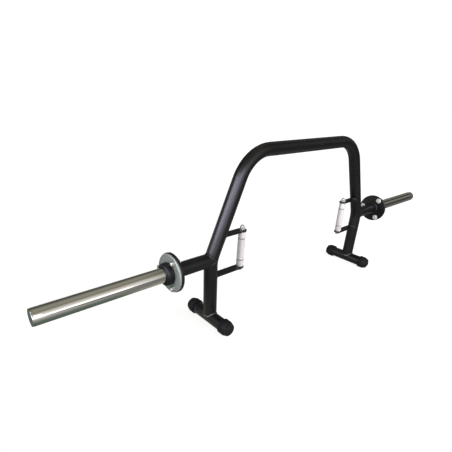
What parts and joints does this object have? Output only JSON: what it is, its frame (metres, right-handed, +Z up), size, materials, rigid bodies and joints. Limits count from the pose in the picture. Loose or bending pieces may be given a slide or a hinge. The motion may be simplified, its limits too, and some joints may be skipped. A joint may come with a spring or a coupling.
{
  "type": "trap bar",
  "caption": "Open trap bar with an arched tube frame on capped cross feet, plate sleeves that turn outside bolted flanges, and upright grips that turn between flat arms.",
  "frame": {"origin": "on the floor, under the middle of the frame", "axes": "+X along the right sleeve, outwards; -Y is the side that the lifter faces; +Z up"},
  "size_m": [2.14, 0.236, 0.655],
  "materials": {
    "frame_black": "satin black powder coat",
    "collar_black": "satin black",
    "cap_rubber": "matt moulded rubber",
    "chrome": "polished chrome plate",
    "zinc": "zinc plate",
    "bright_fastener": "bright zinc plate",
    "grip_steel": "fine knurled, plated",
    "spindle_steel": "turned and oiled",
    "bronze": "plain bronze",
    "bush_nylon": "natural nylon"
  },
  "bodies": {
    "frame": {"frame_arch": "frame_black", "stub_tube_left": "frame_black", "stub_tube_right": "frame_black", "frame_flange_left": "frame_black", "frame_flange_right": "frame_black", "foot_tube_left": "frame_black", "foot_tube_right": "frame_black", "foot_cap_left_front": "cap_rubber", "foot_cap_left_rear": "cap_rubber", "foot_cap_right_front": "cap_rubber", "foot_cap_right_rear": "cap_rubber", "handle_arm_left_upper": "frame_black", "handle_arm_left_lower": "frame_black", "handle_arm_right_upper": "frame_black", "handle_arm_right_lower": "frame_black", "handle_bolt_left": "bright_fastener", "handle_bolt_right": "bright_fastener", "handle_bolt_washer_left": "bright_fastener", "handle_bolt_washer_right": "bright_fastener", "cap_nut_left": "bright_fastener", "cap_nut_right": "bright_fastener", "cap_nut_washer_left": "bright_fastener", "cap_nut_washer_right": "bright_fastener", "sleeve_flange_left": "zinc", "sleeve_flange_right": "zinc", "spindle_left": "spindle_steel", "spindle_right": "spindle_steel", "flange_bolt_left_1": "bright_fastener", "flange_bolt_left_2": "bright_fastener", "flange_bolt_left_3": "bright_fastener", "flange_bolt_right_1": "bright_fastener", "flange_bolt_right_2": "bright_fastener", "flange_bolt_right_3": "bright_fastener", "flange_nut_left_1": "bright_fastener", "flange_nut_left_2": "bright_fastener", "flange_nut_left_3": "bright_fastener", "flange_nut_right_1": "bright_fastener", "flange_nut_right_2": "bright_fastener", "flange_nut_right_3": "bright_fastener", "retaining_washer_left": "bright_fastener", "retaining_washer_right": "bright_fastener", "retaining_bolt_left": "bright_fastener", "retaining_bolt_right": "bright_fastener"},
    "left_sleeve": {"sleeve_tube_left": "chrome", "sleeve_collar_left": "collar_black", "sleeve_bush_left_inner": "bronze", "sleeve_bush_left_outer": "bronze", "sleeve_plug_left": "chrome"},
    "right_sleeve": {"sleeve_tube_right": "chrome", "sleeve_collar_right": "collar_black", "sleeve_bush_right_inner": "bronze", "sleeve_bush_right_outer": "bronze", "sleeve_plug_right": "chrome"},
    "left_grip": {"grip_tube_left": "grip_steel", "grip_bush_left_upper": "bush_nylon", "grip_bush_left_lower": "bush_nylon"},
    "right_grip": {"grip_tube_right": "grip_steel", "grip_bush_right_upper": "bush_nylon", "grip_bush_right_lower": "bush_nylon"}
  },
  "joints": [
    {"name": "left_sleeve_spin", "type": "hinge", "parent": "frame", "child": "left_sleeve", "pos_m": [-0.85, 0, 0.265], "axis": [-1, 0, 0], "continuous": true},
    {"name": "right_sleeve_spin", "type": "hinge", "parent": "frame", "child": "right_sleeve", "pos_m": [0.85, 0, 0.265], "axis": [1, 0, 0], "continuous": true},
    {"name": "left_grip_spin", "type": "hinge", "parent": "frame", "child": "left_grip", "pos_m": [-0.33, 0, 0.272], "axis": [0, 0, 1], "continuous": true},
    {"name": "right_grip_spin", "type": "hinge", "parent": "frame", "child": "right_grip", "pos_m": [0.33, 0, 0.272], "axis": [0, 0, 1], "continuous": true}
  ]
}
